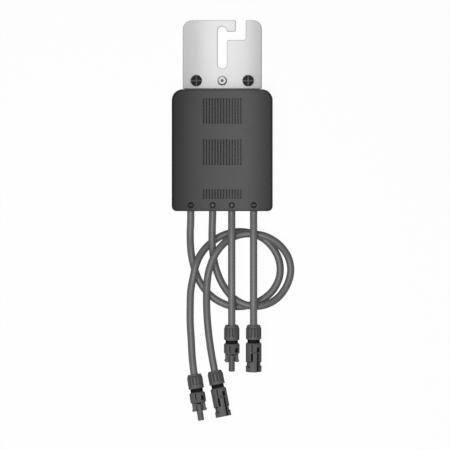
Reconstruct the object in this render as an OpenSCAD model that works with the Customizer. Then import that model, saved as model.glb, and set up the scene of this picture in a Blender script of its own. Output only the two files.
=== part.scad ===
// Power optimizer for a solar module: a sealed box on a metal base, a hooked mounting plate at one end.
// Two long output leads and two short input leads leave the other end, each with a locking connector.
// It lies on its back. X runs across the front, Y from the leads towards the plate, Z out of the front.
// The origin is the centre of the housing's back face.

/* [Housing] */
// Width across the front
housing_w = 101; // [98:1:115]
// Height of the front, without the mounting plate
housing_h = 122; // [119:1:135]
// Depth from the back face to the crown of the front
housing_d = 25; // [24:0.5:32]
// Rise of the front's crown above its side edges
crown = 1.5; // [0.5:0.1:2]
// Wall of the moulded cover
cover_wall = 2.6; // [2.2:0.1:3.2]
// Corner radius at the mounting plate end
top_corner_r = 11; // [8:0.5:14]
// Corner radius at the lead end
low_corner_r = 5; // [4:0.5:8]
// Rounding of the cover's front edge
edge_r = 3; // [1.5:0.25:3.75]
// Thickness of the metal base
base_t = 4; // [3.5:0.25:5]

/* [Front face] */
// Grooves across each field
groove_count = 14; // [8:1:18]
// Spacing of the grooves
groove_pitch = 2.86; // [2.4:0.02:3.2]
// Width of one groove
groove_w = 1.3; // [0.8:0.1:1.8]
// Depth of a groove
groove_depth = 2; // [0.6:0.1:2.2]
// Length of the grooves in the upper and middle fields
groove_long = 25.6; // [15:0.2:28]
// Length of the grooves in the lower field
groove_short = 9.5; // [6:0.5:14]
// Height of the upper field's middle above the housing's centre
field_top_y = 39.3; // [36:0.1:42]
// Height of the middle field's middle below the housing's centre
field_mid_y = -2; // [-6:0.5:4]
// Height of the lower field's middle below the housing's centre
field_low_y = -43.8; // [-46:0.2:-40]
// Diameter of a polarity disc
disc_d = 6.4; // [5:0.2:8]
// Depth of a polarity disc
disc_depth = 0.6; // [0.3:0.1:1]
// Distance of the discs from the lead end
disc_rise = 6; // [5.5:0.25:8]
// Stroke of the plus and minus signs
sign_w = 0.9; // [0.6:0.1:1.2]
// Length of the plus and minus signs
sign_len = 4; // [3:0.2:4.6]

/* [Mounting plate] */
// Width of the plate
plate_w = 79; // [72:1:90]
// Length of the plate beyond the housing
plate_rise = 69; // [66:1:85]
// Thickness of the sheet
plate_t = 2; // [1.5:0.25:3]
// Corner radius of the plate's free end
plate_corner_r = 9; // [5:0.5:14]
// Width of the slot, for an M8 rail bolt
slot_w = 9.2; // [8.4:0.2:11]
// Distance of the slot's closed end from the housing
slot_low = 20.5; // [19:0.5:26]
// Distance of the slot's upper end from the plate's free end
slot_margin = 6.2; // [5:0.2:9]
// Width of the hook beside the slot
hook_w = 8.9; // [6:0.2:11]
// Distance of the hook's tip from the plate's free end
hook_drop = 11.4; // [10:0.2:14]
// Distance of the lower edge of the way in from the plate's free end
ledge_drop = 19.9; // [17:0.1:24]
// Width of the way in at the plate's free end
mouth_w = 10; // [8.4:0.2:12]
// Distance of the plate's fastener row from the housing
fix_rise = 8.6; // [7.6:0.2:9.4]
// Spacing of the two plate screws
plate_screw_pitch = 51.8; // [40:0.2:58]

/* [Fasteners] */
// Thread of the plate screws
plate_screw_d = 5; // [4:0.5:6]
// Head of the plate screws
plate_head_d = 11.4; // [9:0.2:13]
// Height of the plate screws' head
plate_head_h = 2.6; // [2:0.1:3.2]
// Width of the cross slot in the plate screws
cross_slot_w = 1.3; // [0.8:0.1:1.6]
// Shank of the blind rivet
rivet_d = 4.8; // [4:0.2:6]
// Flange of the blind rivet
rivet_head_d = 9.8; // [8:0.2:12]
// Flat top of the blind rivet's flange
rivet_top_d = 6.8; // [5.4:0.2:7.6]
// Height of the blind rivet's flange
rivet_head_h = 1.4; // [1:0.1:2]
// Hole left by the rivet's mandrel
rivet_hole_d = 3; // [2.2:0.1:3.2]
// Thread of the cover screws
cover_screw_d = 3; // [2.5:0.5:3.5]
// Head of the cover screws
cover_head_d = 5.6; // [5:0.2:6.4]
// Height of the cover screws' head
cover_head_h = 2; // [1.6:0.1:2.4]
// Reach of the cover screws into the cover
cover_screw_reach = 9; // [7:0.5:11]
// Thread of the board screws
board_screw_d = 2.5; // [2:0.5:3]
// Head of the board screws
board_head_d = 5; // [4.5:0.25:5.5]
// Height of the board screws' head
board_head_h = 1.8; // [1.4:0.1:2.2]

/* [Electronics] */
// Distance of the circuit board from the housing's sides
board_side = 10.5; // [9.5:0.25:12]
// Distance of the circuit board from the housing's ends
board_end = 9; // [7.5:0.25:10]
// Thickness of the circuit board
board_t = 1.6; // [1:0.2:2]
// Height of the posts under the circuit board
post_h = 4; // [3.5:0.25:4.5]
// Diameter of the posts under the circuit board
post_d = 6; // [5.5:0.25:7]
// Width and depth of the choke
choke_w = 34; // [28:1:38]
// Room between the choke and the cover
choke_clear = 1.3; // [0.8:0.1:3]
// Room between the film capacitors and the cover
film_clear = 2.3; // [1:0.1:4]
// Width of one film capacitor
film_w = 13; // [10:0.5:14]
// Depth of one film capacitor
film_l = 6.5; // [5:0.5:7.5]
// Thickness of the thermal pad
pad_t = 1.5; // [1:0.25:2]

/* [Leads] */
// Diameter of the cable jacket
cable_d = 7.4; // [6.4:0.1:7.6]
// Spacing of the two leads of a pair
lead_pitch = 21.9; // [20:0.1:23]
// Spacing of the two inner leads
pair_gap = 19.1; // [17:0.1:21]
// Distance of the leads' axis from the inside of the cover's front
exit_drop = 6; // [6:0.1:7]
// Outside of the rubber bush in the cover's wall
bush_d = 10.4; // [9.8:0.1:10.8]
// Flange of the rubber bush, inside the wall
bush_flange_d = 11.8; // [11.4:0.1:11.8]
// Thickness of the bush's flange
bush_flange_t = 2; // [1:0.25:3]

/* [Connectors] */
// Outside of the gland nut
nut_d = 15.5; // [15:0.1:15.6]
// Cable end of the gland nut, where its taper starts
nut_mouth_d = 12.9; // [11:0.1:14]
// Length of the nut's taper
nut_taper = 3.6; // [2:0.2:5]
// Wall at the nut's cable end
nut_cap = 4; // [3:0.25:5]
// Length of the nut on the tube connector
tube_nut_len = 14.8; // [13:0.2:17]
// Length of the nut on the sleeve connector
sleeve_nut_len = 14.1; // [13:0.1:17]
// Flutes round the nut
flute_count = 14; // [10:1:18]
// Diameter of one flute
flute_d = 1.7; // [1.2:0.1:2.2]
// Length of the flutes
flute_len = 11; // [8:0.5:12]
// Diameter of the threaded neck between nut and body
neck_d = 11.8; // [11.4:0.1:12.6]
// Visible length of the neck
neck_gap = 3.4; // [2:0.2:5]
// Diameter of the rubber ring on the visible neck
ring_d = 12.5; // [12:0.1:13]
// Depth of the rubber ring's groove in the neck
ring_sink = 0.8; // [0.5:0.1:1]
// Outside of the rubber sleeve in the gland
seal_d = 9.4; // [8.6:0.1:9.8]
// Length of the rubber sleeve in the gland
seal_len = 8; // [6:0.5:9]
// Diameter of the connector bodies
conn_d = 15.8; // [15.6:0.1:17]
// Length of the tube connector's body
tube_body_len = 10.8; // [9.6:0.2:13]
// Length of the latch arms in front of the body
latch_len = 8.2; // [7:0.2:10]
// Distance between the outer faces of the latch arms
latch_span = 12.8; // [12.2:0.1:13.2]
// Thickness of a latch arm
latch_t = 2.9; // [2:0.1:3]
// Width of a latch arm
latch_w = 5.2; // [4:0.2:5.6]
// Diameter of the round hook at the end of a latch arm
latch_hook_d = 3; // [2.4:0.1:3.4]
// Diameter of the tube
tube_d = 6.2; // [5.8:0.1:6.6]
// Length of the tube in front of the body
tube_len = 17.8; // [15:0.2:20]
// Hole in the tube's end
tube_bore_d = 3.8; // [3:0.1:4.2]
// Length of the sleeve connector's body
sleeve_body_len = 29.2; // [27:0.2:33]
// Length of the sleeve's end collar
collar_len = 5.6; // [4:0.2:7]
// Length of the latch notch behind the collar
notch_len = 4; // [3.2:0.2:5]
// Width left between the latch notches
notch_w = 12.4; // [11.8:0.1:13.2]
// Room round a tube in the sleeve
tube_play = 0.7; // [0.4:0.1:0.9]
// Depth of the sleeve
sleeve_depth = 18; // [16:0.5:20]
// Diameter of the sleeve's pin
pin_d = 3; // [2.4:0.1:3.4]
// Turn of each connector about its own axis
conn_roll = 9; // [0:1:20]
// Turn of the output minus connector across the surface
output_minus_turn = 8.6; // [0:0.2:15]
// Turn of the output plus connector across the surface
output_plus_turn = 11.2; // [0:0.2:15]
// Downward tilt of the input plus connector
input_plus_dip = 10; // [8:0.5:13]
// Downward tilt of the input minus connector
input_minus_dip = 9; // [7:0.5:11]

/* [Fits] */
// Gap round screws, rivets and contacts in their holes
fit_gap = 0.1; // [0.05:0.01:0.15]
// Gap round the cables and between parts that are put together by hand
hand_gap = 0.2; // [0.15:0.01:0.25]
// Gap between the mounting plate and the cover
plate_gap = 0.3; // [0.1:0.05:1]

/* [Hidden] */

$fn = 48;
past = 1;
arc_steps = 8;
crown_steps = 12;
edge_steps = 5;

// Colours
cover_grey = "#4c4c4c";
plate_silver = "#dcdcdc";
base_silver = "#b4b6b8";
screw_black = "#262626";
rubber_black = "#1c1c1c";
cable_grey = "#6e6e6e";
conn_grey = "#565656";
contact_silver = "#c9c4b8";
board_green = "#2f5d43";
core_black = "#2b2b2d";
copper = "#b87333";
film_blue = "#4d6f9c";
chip_black = "#1f1f21";
pad_grey = "#9aa0a6";
screw_steel = "#a9abad";

// Places on the housing
end_y = housing_h / 2;
rim_h = housing_d - crown;
crown_r = (pow(housing_w / 2, 2) + pow(crown, 2)) / (2 * crown);
cable_r = cable_d / 2;
lead_x = [-pair_gap / 2 - lead_pitch, -pair_gap / 2, pair_gap / 2, pair_gap / 2 + lead_pitch];
groove_x = [for (i = [0 : groove_count - 1]) (i - (groove_count - 1) / 2) * groove_pitch];
ceiling_z = rim_h - cover_wall;
exit_z = ceiling_z - exit_drop;

// Cover screws and their posts
cover_post_wall = 1.9;
cover_post_r = cover_screw_d / 2 + cover_post_wall;
cover_post_bury = 0.4;
cover_post_stand = 0.8;
cover_fix_x = housing_w / 2 - cover_wall - cover_post_r + cover_post_bury;
cover_fix_y = end_y - cover_wall - cover_post_r - cover_post_stand;
cover_fix = [for (x = [-1, 1], y = [-1, 1]) [x * cover_fix_x, y * cover_fix_y]];
head_sink = 0.2;
screw_sink = cover_head_h + head_sink;

// Seal ring under the cover's wall
seal_lip = 0.6;
seal_w = cover_wall - 2 * seal_lip;
seal_h = 1.2;

// Mounting plate and the tongue that carries it
plate_z = base_t;
plate_low_y = end_y + plate_gap;
plate_top_y = end_y + plate_rise;
fix_y = end_y + fix_rise;
tongue_top_y = end_y + 2 * fix_rise;
tongue_step = 2;
tongue_w = plate_w - 2 * tongue_step;
slot_r = slot_w / 2;
hook_x = slot_r + hook_w;
mouth_x = hook_x + mouth_w;
plate_screw_short = 0.4;
rivet_tail_h = 1.6;
rivet_tail_lip = 1;
rivet_tail_r = rivet_d / 2 + rivet_tail_lip;
rivet_sink = rivet_tail_h + head_sink;
rivet_rim = 0.3;
rivet_stub_r = 0.8;
rivet_stub_sink = 0.6;

// Circuit board and what stands on it
board_w = housing_w - 2 * board_side;
board_h = housing_h - 2 * board_end;
board_z = base_t + post_h;
board_top = board_z + board_t;
board_fix_side = 4;
board_fix_end = 12;
board_fix_x = board_w / 2 - board_fix_side;
board_fix_y = board_h / 2 - board_fix_end;
board_screw_bite = 1.5;
board_hole_bite = 2;
board_fix = [for (x = [-1, 1], y = [-1, 1]) [x * board_fix_x, y * board_fix_y]];
choke_y = 8;
choke_h = ceiling_z - board_top - choke_clear;
choke_wall = 2.4;
choke_leg_d = 12;
coil_gap = 0.3;
transistor_h = post_h - pad_t;
transistor_size = [10, 9];
transistor_pitch = [13, 12];
transistor_end = 26;
transistor_y = transistor_end - board_h / 2;
film_h = ceiling_z - board_top - film_clear;
film_gap = 3;
film_pitch = film_w + film_gap;
film_in_end = 33;
film_in_y = film_in_end - board_h / 2;
film_out_end = 16;
film_out_y = board_h / 2 - film_out_end;
chip_end = 19;
chip_y = chip_end - board_h / 2;
diode_x = -20;
diode_size = [12, 9, 3];
control_x = 12;
control_size = [10, 10, 1.6];
terminal_w = 7;
terminal_l = 7;
terminal_gap = 3.4;
lead_inside = cover_wall + bush_flange_t + terminal_gap;
terminal_y = -end_y + lead_inside;
terminal_h = exit_z + cable_r - board_top;

// Connector places along its own axis, from the nut's cable end
nut_r = nut_d / 2;
conn_r = conn_d / 2;
neck_r = neck_d / 2;
ring_bed_r = neck_r - ring_sink;
panel_step = 0.5;
root_lap = 0.3;
gland_r = cable_r + hand_gap;
neck_start = nut_cap + 1;
seal_end = nut_cap + seal_len;
tube_start = tube_nut_len + neck_gap;
tube_front = tube_start + tube_body_len;
tube_tip = tube_front + tube_len;
tube_stop = 2;
tube_contact_s = tube_start + tube_stop;
sleeve_bore_d = tube_d + 2 * tube_play;
sleeve_start = sleeve_nut_len + neck_gap;
sleeve_tip = sleeve_start + sleeve_body_len;
sleeve_floor = sleeve_tip - sleeve_depth;
sleeve_stop = 3;
sleeve_contact_s = sleeve_start + sleeve_stop;
body_chamfer = 1.2;
nut_edge = 0.6;
tip_edge = 0.4;
tube_r = tube_d / 2;
tube_collar_rise = 0.35;
tube_collar_len = 1.8;
tube_groove_sink = 0.5;
tube_groove_len = 1.3;
tube_collar_r = tube_r + tube_collar_rise;
tube_groove_r = tube_r - tube_groove_sink;
tube_groove_s = tube_front + tube_groove_len;
tube_collar_s = tube_groove_s + tube_collar_len;
rest_gap = 0.25;
butt_gap = 0.02;

// Where the connectors lie, measured from the middle of the cover's lead end
tube_edge_s = tube_front - body_chamfer;
input_run = 114;
output_minus_end = [-28, -163, conn_r + rest_gap];
output_plus_end = [-7.6, -159.5, conn_r + rest_gap];
input_plus_end = [lead_x[2], -input_run, leaning_z(tube_edge_s, input_plus_dip)];
input_minus_end = [lead_x[3], -input_run, leaning_z(sleeve_tip, input_minus_dip)];

// Routes of the leads, measured from the middle of the cover's lead end, Z from the surface it lies on.
// The long leads make one loose turn each and cross, the short leads lie over them.
output_minus_way = [
    [-31.6, -13, 13.4], [-32, -25, 10.8], [-31, -42, 6], [-27.5, -58, 4.1], [-22.5, -70.5, 3.9],
    [-14.5, -81.5, 3.8], [-3.5, -90, 3.8], [10, -95, 3.8], [25, -94.5, 3.8], [39, -89, 3.8],
    [50.2, -79.7, 3.8], [57, -66.5, 3.8], [57.5, -52, 3.8], [52, -38.5, 3.8], [42, -28, 3.8],
    [29, -22, 3.8], [15, -20.5, 3.8], [1, -24, 3.9], [-10.5, -31, 4.3], [-20, -41, 7.8],
    [-26, -53, 11.7], [-29, -66, 12], [-31.5, -80, 9.7], [-32, -96, 7], [-32, -112, 5.1],
    [-31, -128.5, 5.1], [-30, -146, 6.6]
];
output_plus_way = [
    [-10, -17, 14], [-10, -32, 12.4], [-8.5, -47, 8.4], [-5, -61, 7], [1.5, -75, 7.5],
    [11.5, -87, 10], [25, -94, 11.4], [40, -94.5, 10.2], [54, -88, 6.6], [64, -75.5, 4.3],
    [68.5, -60.5, 4], [66, -46, 5.4], [57.5, -34, 9.1], [45.5, -26, 11.3], [32, -22.8, 11.4],
    [18.5, -23.5, 11.5], [6.5, -28.5, 12.8], [-3, -37.5, 16.1], [-9.5, -48.5, 16.9], [-14, -63, 15],
    [-15.5, -80, 11.8], [-15.5, -97, 8], [-14.5, -113, 5.4], [-12.8, -128.5, 5], [-10.5, -144, 6.6]
];
input_plus_way = [
    [9.5, -7, 15.5], [9.5, -13, 17.1], [9.5, -19, 18.8], [9.5, -26, 20], [9.5, -42, 20.5],
    [9.5, -57, 20], [9.5, -72, 19], [9.5, -85, 17.7], [9.5, -99, 15.3]
];
input_minus_way = [
    [31.4, -6.5, 15.4], [31.4, -12, 16.8], [31.4, -17.5, 18.3], [31.4, -24, 19.3], [31.4, -40, 20],
    [31.4, -58, 20.4], [31.4, -76, 20.2], [31.4, -94, 19], [31.4, -104, 17.2]
];
exit_run = 2;
cable_sides = 12;
cable_steps = 3;

// Points on an arc round c from angle a to angle b, in degrees
function arc(c, r, a, b) =
    [for (i = [0 : arc_steps]) let (turn = a + (b - a) * i / arc_steps) c + r * [cos(turn), sin(turn)]];

// Outline of the housing, drawn inwards by a margin
function housing_outline(inset) =
    let (x = housing_w / 2 - inset)
    let (y = end_y - inset)
    let (t = max(top_corner_r - inset, 0.5))
    let (l = max(low_corner_r - inset, 0.5))
    concat(arc([x - t, y - t], t, 0, 90), arc([t - x, y - t], t, 90, 180),
           arc([l - x, l - y], l, 180, 270), arc([x - l, l - y], l, 270, 360));

// Height of the crowned front at a place across it
function front_z(x) = housing_d - crown_r + sqrt(pow(crown_r, 2) - pow(x, 2));

// Direction in which a connector points
function pointing(turn, dip) = [sin(turn) * cos(dip), -cos(turn) * cos(dip), -sin(dip)];

// Height of a connector that leans with the edge at s on the surface
function leaning_z(s, dip) = s * sin(dip) + conn_r * cos(dip) + rest_gap;

// One place between b and c on the smooth line through a, b, c and d
function between(a, b, c, d, t) =
    b + ((c - a) * t + (2 * a - 5 * b + 4 * c - d) * pow(t, 2) + (3 * b - a - 3 * c + d) * pow(t, 3)) / 2;

// Smooth line through the points p that sets out along first_way and arrives along last_way
function smooth(p, first_way, last_way) =
    let (n = len(p))
    let (before = p[1] - 2 * norm(p[1] - p[0]) * first_way)
    let (after = p[n - 2] + 2 * norm(p[n - 1] - p[n - 2]) * last_way)
    let (q = concat([before], p, [after]))
    concat([for (i = [0 : n - 2], k = [0 : cable_steps - 1])
        between(q[i], q[i + 1], q[i + 2], q[i + 3], k / cable_steps)], [p[n - 1]]);

// A lead's whole route: out of the cover, along its way, into the connector as far as the contact
function lead_route(index, way, last, turn, dip, contact_s) =
    let (out = [lead_x[index], -exit_run, exit_z])
    let (along = pointing(turn, dip))
    concat([[lead_x[index], lead_inside, exit_z]],
           smooth(concat([out], way, [last]), [0, -1, 0], along),
           [last + (contact_s - butt_gap) * along]);

function unit(v) = v / norm(v);

function heading(p, i) =
    i == 0 ? unit(p[1] - p[0]) :
    i == len(p) - 1 ? unit(p[i] - p[i - 1]) :
    unit(unit(p[i + 1] - p[i]) + unit(p[i] - p[i - 1]));

function ring(centre, along, r) =
    let (side = unit(cross([0, 0, 1], along)))
    let (up = cross(along, side))
    [for (k = [0 : cable_sides - 1])
        let (turn = 360 * k / cable_sides)
        centre + r * (cos(turn) * side + sin(turn) * up)];

// Round cable swept along a route
module cable(route) {
    n = cable_sides;
    rings = len(route);
    points = [for (i = [0 : rings - 1]) each ring(route[i], heading(route, i), cable_r)];
    walls = [for (i = [0 : rings - 2], k = [0 : n - 1], half = [0, 1])
        let (a = i * n + k)
        let (b = i * n + (k + 1) % n)
        half == 0 ? [a, a + n, b] : [b, a + n, b + n]];
    first = [for (k = [0 : n - 1]) k];
    last = [for (k = [n - 1 : -1 : 0]) (rings - 1) * n + k];
    translate([0, -end_y, 0]) polyhedron(points, concat(walls, [first, last]));
}

module rod(d, z0, z1) {
    translate([0, 0, z0]) cylinder(d = d, h = z1 - z0);
}

module box(size, at) {
    translate([at[0] - size[0] / 2, at[1] - size[1] / 2, at[2]]) cube(size);
}

// Stands a connector's own axis on the place and direction where it lies
module lay(last, turn, dip) {
    translate(last + [0, -end_y, 0]) rotate([0, 0, turn]) rotate([dip + 90, 0, 0]) children();
}

module screw_places(y) {
    for (s = [-1, 1]) translate([s * plate_screw_pitch / 2, y, 0]) children();
}

module lead_places() {
    for (x = lead_x) translate([x, -end_y, exit_z]) children();
}

// Metal base: the housing's footprint and a tongue under the mounting plate
module base_plate() {
    color(base_silver) difference() {
        union() {
            linear_extrude(base_t) polygon(housing_outline(0));
            translate([-tongue_w / 2, end_y - top_corner_r, 0])
                cube([tongue_w, tongue_top_y - end_y + top_corner_r, base_t]);
            for (p = board_fix) translate(p) rod(post_d, base_t - past, board_z);
        }
        translate([0, 0, base_t - seal_h]) linear_extrude(seal_h + past) difference() {
            polygon(housing_outline(seal_lip));
            polygon(housing_outline(seal_lip + seal_w));
        }
        for (p = cover_fix) translate(p) {
            rod(cover_screw_d + 2 * hand_gap, -past, base_t + past);
            rod(cover_head_d + 2 * hand_gap, -past, screw_sink);
        }
        for (p = board_fix) translate(p)
            rod(board_screw_d + 2 * fit_gap, base_t - board_hole_bite, board_z + past);
        screw_places(fix_y) rod(plate_screw_d + 2 * fit_gap, -past, base_t + past);
        translate([0, fix_y]) {
            rod(rivet_d + 2 * fit_gap, -past, base_t + past);
            rod(2 * (rivet_tail_r + hand_gap), -past, rivet_sink);
        }
    }
}

// Places from a to b, without the two ends
function along(a, b) = [for (i = [1 : crown_steps - 1]) a + (b - a) * i / crown_steps];

// Outline of the cover with places along its two ends, so that the crown can bend there
function crown_outline(inset) =
    let (x = housing_w / 2 - inset)
    let (y = end_y - inset)
    let (t = top_corner_r - inset)
    let (l = low_corner_r - inset)
    concat(
        arc([x - t, y - t], t, 0, 90),
        along([x - t, y], [t - x, y]),
        arc([t - x, y - t], t, 90, 180),
        arc([l - x, l - y], l, 180, 270),
        along([l - x, -y], [x - l, -y]),
        arc([x - l, l - y], l, 270, 360)
    );

// Outer form of the cover: straight walls, a rounded edge and a front that is crowned across its width
module cover_form() {
    top = crown_outline(edge_r);
    n = len(top);
    half = n / 2;
    rings = edge_steps + 2;
    foot = [for (p = crown_outline(0)) [p[0], p[1], base_t]];
    edge = [for (k = [0 : edge_steps])
        let (turn = 90 * k / edge_steps)
        let (out = crown_outline(edge_r * (1 - cos(turn))))
        each [for (i = [0 : n - 1]) [out[i][0], out[i][1], front_z(top[i][0]) - edge_r * (1 - sin(turn))]]];
    walls = [for (k = [0 : rings - 2], i = [0 : n - 1], part = [0, 1])
        let (a = k * n + i)
        let (b = k * n + (i + 1) % n)
        part == 0 ? [a, a + n, b] : [b, a + n, b + n]];
    first = (rings - 1) * n;
    front = [for (i = [0 : half - 2], part = [0, 1])
        let (a = first + i)
        let (b = first + n - 1 - i)
        part == 0 ? [a, b, a + 1] : [a + 1, b, b - 1]];
    back = [for (i = [0 : n - 1]) i];
    polyhedron(concat(foot, edge), concat(walls, front, [back]));
}

// Plus or minus sign, left standing in its disc
module sign(plus) {
    box([sign_len, sign_w, disc_depth + past], [0, 0, -past]);
    if (plus) box([sign_w, sign_len, disc_depth + past], [0, 0, -past]);
}

// Moulded cover with grooved front, polarity discs, screw posts and lead holes
module front_cover() {
    plus = [false, true, true, false];
    color(cover_grey) difference() {
        union() {
            difference() {
                cover_form();
                translate([0, 0, base_t - past]) linear_extrude(ceiling_z - base_t + past)
                    polygon(housing_outline(cover_wall));
            }
            for (p = cover_fix) translate(p) rod(2 * cover_post_r, base_t, ceiling_z + past / 2);
        }
        for (x = groove_x) {
            translate([0, 0, front_z(x) - groove_depth]) {
                box([groove_w, groove_long, groove_depth + past], [x, field_top_y, 0]);
                box([groove_w, groove_long, groove_depth + past], [x, field_mid_y, 0]);
                box([groove_w, groove_short, groove_depth + past], [x, field_low_y, 0]);
            }
        }
        for (i = [0 : 3]) translate([lead_x[i], disc_rise - end_y, front_z(lead_x[i]) - disc_depth])
            difference() {
                rod(disc_d, 0, disc_depth + past);
                sign(plus[i]);
            }
        for (p = cover_fix) translate(p)
            rod(cover_screw_d + 2 * fit_gap, base_t - past, base_t + cover_screw_reach + past);
        lead_places() rotate([-90, 0, 0]) rod(bush_d + 2 * fit_gap, -past, cover_wall + past);
    }
}

// Rubber ring between base and cover
module cover_seal() {
    color(rubber_black) translate([0, 0, base_t - seal_h]) linear_extrude(seal_h) difference() {
        polygon(housing_outline(seal_lip + fit_gap));
        polygon(housing_outline(seal_lip + seal_w - fit_gap));
    }
}

// Four screws from the back into the cover's posts
module cover_screws() {
    drive_d = 2.2;
    color(screw_steel) for (p = cover_fix) translate(p) difference() {
        union() {
            rod(cover_head_d, head_sink, screw_sink);
            rod(cover_screw_d, screw_sink - past / 2, base_t + cover_screw_reach);
        }
        translate([0, 0, head_sink - past]) cylinder(d = drive_d, h = past + cover_head_h / 2, $fn = 6);
    }
}

// Outline of the slot that hooks on a rail bolt: in at the free end, across under the hook,
// down to the closed end
function slot_outline() =
    let (low = end_y + slot_low + slot_r)
    let (high = plate_top_y - slot_margin - slot_r)
    let (tip = plate_top_y - hook_drop)
    let (ledge = plate_top_y - ledge_drop)
    let (soft = 1.5)
    let (inner = 2.6)
    concat(
        arc([0, low], slot_r, 180, 360),
        arc([slot_r + soft, ledge - soft], soft, 180, 90),
        arc([mouth_x - inner, ledge + inner], inner, 270, 360),
        arc([mouth_x + soft, plate_top_y - soft], soft, 180, 90),
        [[mouth_x + soft, plate_top_y + past], [hook_x - soft, plate_top_y + past]],
        arc([hook_x - soft, plate_top_y - soft], soft, 90, 0),
        arc([hook_x - soft, tip + soft], soft, 0, -90),
        [[slot_r * cos(asin((tip - high) / slot_r)), tip]],
        arc([0, high], slot_r, asin((tip - high) / slot_r), 180)
    );

// Sheet-metal plate with the hooked slot
module mounting_plate() {
    r = plate_corner_r;
    x = plate_w / 2;
    edge = concat([[-x, plate_low_y], [x, plate_low_y]], arc([x - r, plate_top_y - r], r, 0, 90),
                  arc([r - x, plate_top_y - r], r, 90, 180));
    color(plate_silver) translate([0, 0, plate_z]) difference() {
        linear_extrude(plate_t) difference() {
            polygon(edge);
            polygon(slot_outline());
        }
        screw_places(fix_y) rod(plate_screw_d + 2 * hand_gap, -past, plate_t + past);
        translate([0, fix_y]) rod(rivet_d + 2 * fit_gap, -past, plate_t + past);
    }
}

// Two black screws with a rounded head and a cross slot
module plate_screws() {
    head_z = plate_z + plate_t;
    r = plate_head_d / 2;
    round_r = plate_head_h * 0.45;
    slot_depth = plate_head_h * 0.4;
    color(screw_black) screw_places(fix_y) difference() {
        union() {
            translate([0, 0, head_z]) rotate_extrude() polygon(concat([[0, 0], [r, 0]],
                arc([r - round_r, plate_head_h - round_r], round_r, 0, 90), [[0, plate_head_h]]));
            rod(plate_screw_d, plate_screw_short, head_z + past / 2);
        }
        translate([0, 0, head_z + plate_head_h - slot_depth]) for (turn = [0, 90]) rotate(turn)
            box([plate_head_d + past, cross_slot_w, plate_head_h], [0, 0, 0]);
    }
}

// Blind rivet that earths the plate to the base
module earthing_rivet() {
    top = plate_z + plate_t;
    color(plate_silver) translate([0, fix_y]) rotate_extrude() polygon([
        [0, head_sink], [rivet_tail_r, head_sink], [rivet_tail_r, rivet_sink],
        [rivet_d / 2, rivet_sink], [rivet_d / 2, top], [rivet_head_d / 2, top],
        [rivet_head_d / 2, top + rivet_rim], [rivet_top_d / 2, top + rivet_head_h],
        [rivet_hole_d / 2, top + rivet_head_h], [rivet_hole_d / 2, base_t], [rivet_stub_r, base_t],
        [rivet_stub_r, top + rivet_head_h - rivet_stub_sink], [0, top + rivet_head_h - rivet_stub_sink]
    ]);
}

// Circuit board on the base's posts
module circuit_board() {
    color(board_green) difference() {
        box([board_w, board_h, board_t], [0, 0, board_z]);
        for (p = board_fix) translate(p) rod(board_screw_d + 2 * hand_gap, board_z - past, board_top + past);
    }
}

module board_screws() {
    color(screw_steel) for (p = board_fix) translate(p) {
        rod(board_head_d, board_top, board_top + board_head_h);
        rod(board_screw_d, base_t - board_screw_bite, board_top + board_head_h / 2);
    }
}

// Ferrite core: two plates, a round middle leg and two outer legs
module inductor_core() {
    color(core_black) translate([0, choke_y, board_top]) {
        box([choke_w, choke_w, choke_wall], [0, 0, 0]);
        box([choke_w, choke_w, choke_wall], [0, 0, choke_h - choke_wall]);
        rod(choke_leg_d, choke_wall / 2, choke_h - choke_wall / 2);
        for (s = [-1, 1]) box([choke_wall, choke_w, choke_h - choke_wall],
                              [s * (choke_w - choke_wall) / 2, 0, choke_wall / 2]);
    }
}

// Copper coil round the middle leg
module inductor_coil() {
    inner = choke_leg_d / 2 + coil_gap;
    outer = choke_w / 2 - choke_wall - coil_gap;
    color(copper) translate([0, choke_y, board_top + choke_wall]) rotate_extrude()
        translate([inner, 0]) square([outer - inner, choke_h - 2 * choke_wall - coil_gap]);
}

// A row of film capacitors
module film_row(y) {
    color(film_blue) for (i = [-1 : 1]) box([film_w, film_l, film_h], [i * film_pitch, y, board_top]);
}

module input_capacitors() {
    film_row(film_in_y);
}

module output_capacitors() {
    film_row(film_out_y);
}

// Switching transistors under the board, against the thermal pad
module power_transistors() {
    color(chip_black) for (x = [-1.5 : 1 : 1.5], y = [-0.5, 0.5])
        box([transistor_size[0], transistor_size[1], transistor_h],
            [x * transistor_pitch[0], transistor_y + y * transistor_pitch[1], base_t + pad_t]);
}

module thermal_pad() {
    margin = 1;
    pad_w = 3 * transistor_pitch[0] + transistor_size[0] + 2 * margin;
    pad_l = transistor_pitch[1] + transistor_size[1] + 2 * margin;
    color(pad_grey) box([pad_w, pad_l, pad_t], [0, transistor_y, base_t]);
}

module bypass_diode() {
    color(chip_black) box(diode_size, [diode_x, chip_y, board_top]);
}

module control_chip() {
    color(chip_black) box(control_size, [control_x, chip_y, board_top]);
}

// Blocks on the board that take the ends of the leads
module wire_terminals() {
    color(contact_silver) for (x = lead_x)
        box([terminal_w, terminal_l, terminal_h], [x, terminal_y + terminal_l / 2, board_top]);
}

// Rubber bushes in the cover's lower wall, held by a flange inside
module cable_bushes() {
    color(rubber_black) lead_places() rotate([-90, 0, 0]) difference() {
        union() {
            rod(bush_d, 0, cover_wall + past / 2);
            rod(bush_flange_d, cover_wall, cover_wall + bush_flange_t);
        }
        rod(2 * gland_r, -past, cover_wall + bush_flange_t + past);
    }
}

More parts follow.
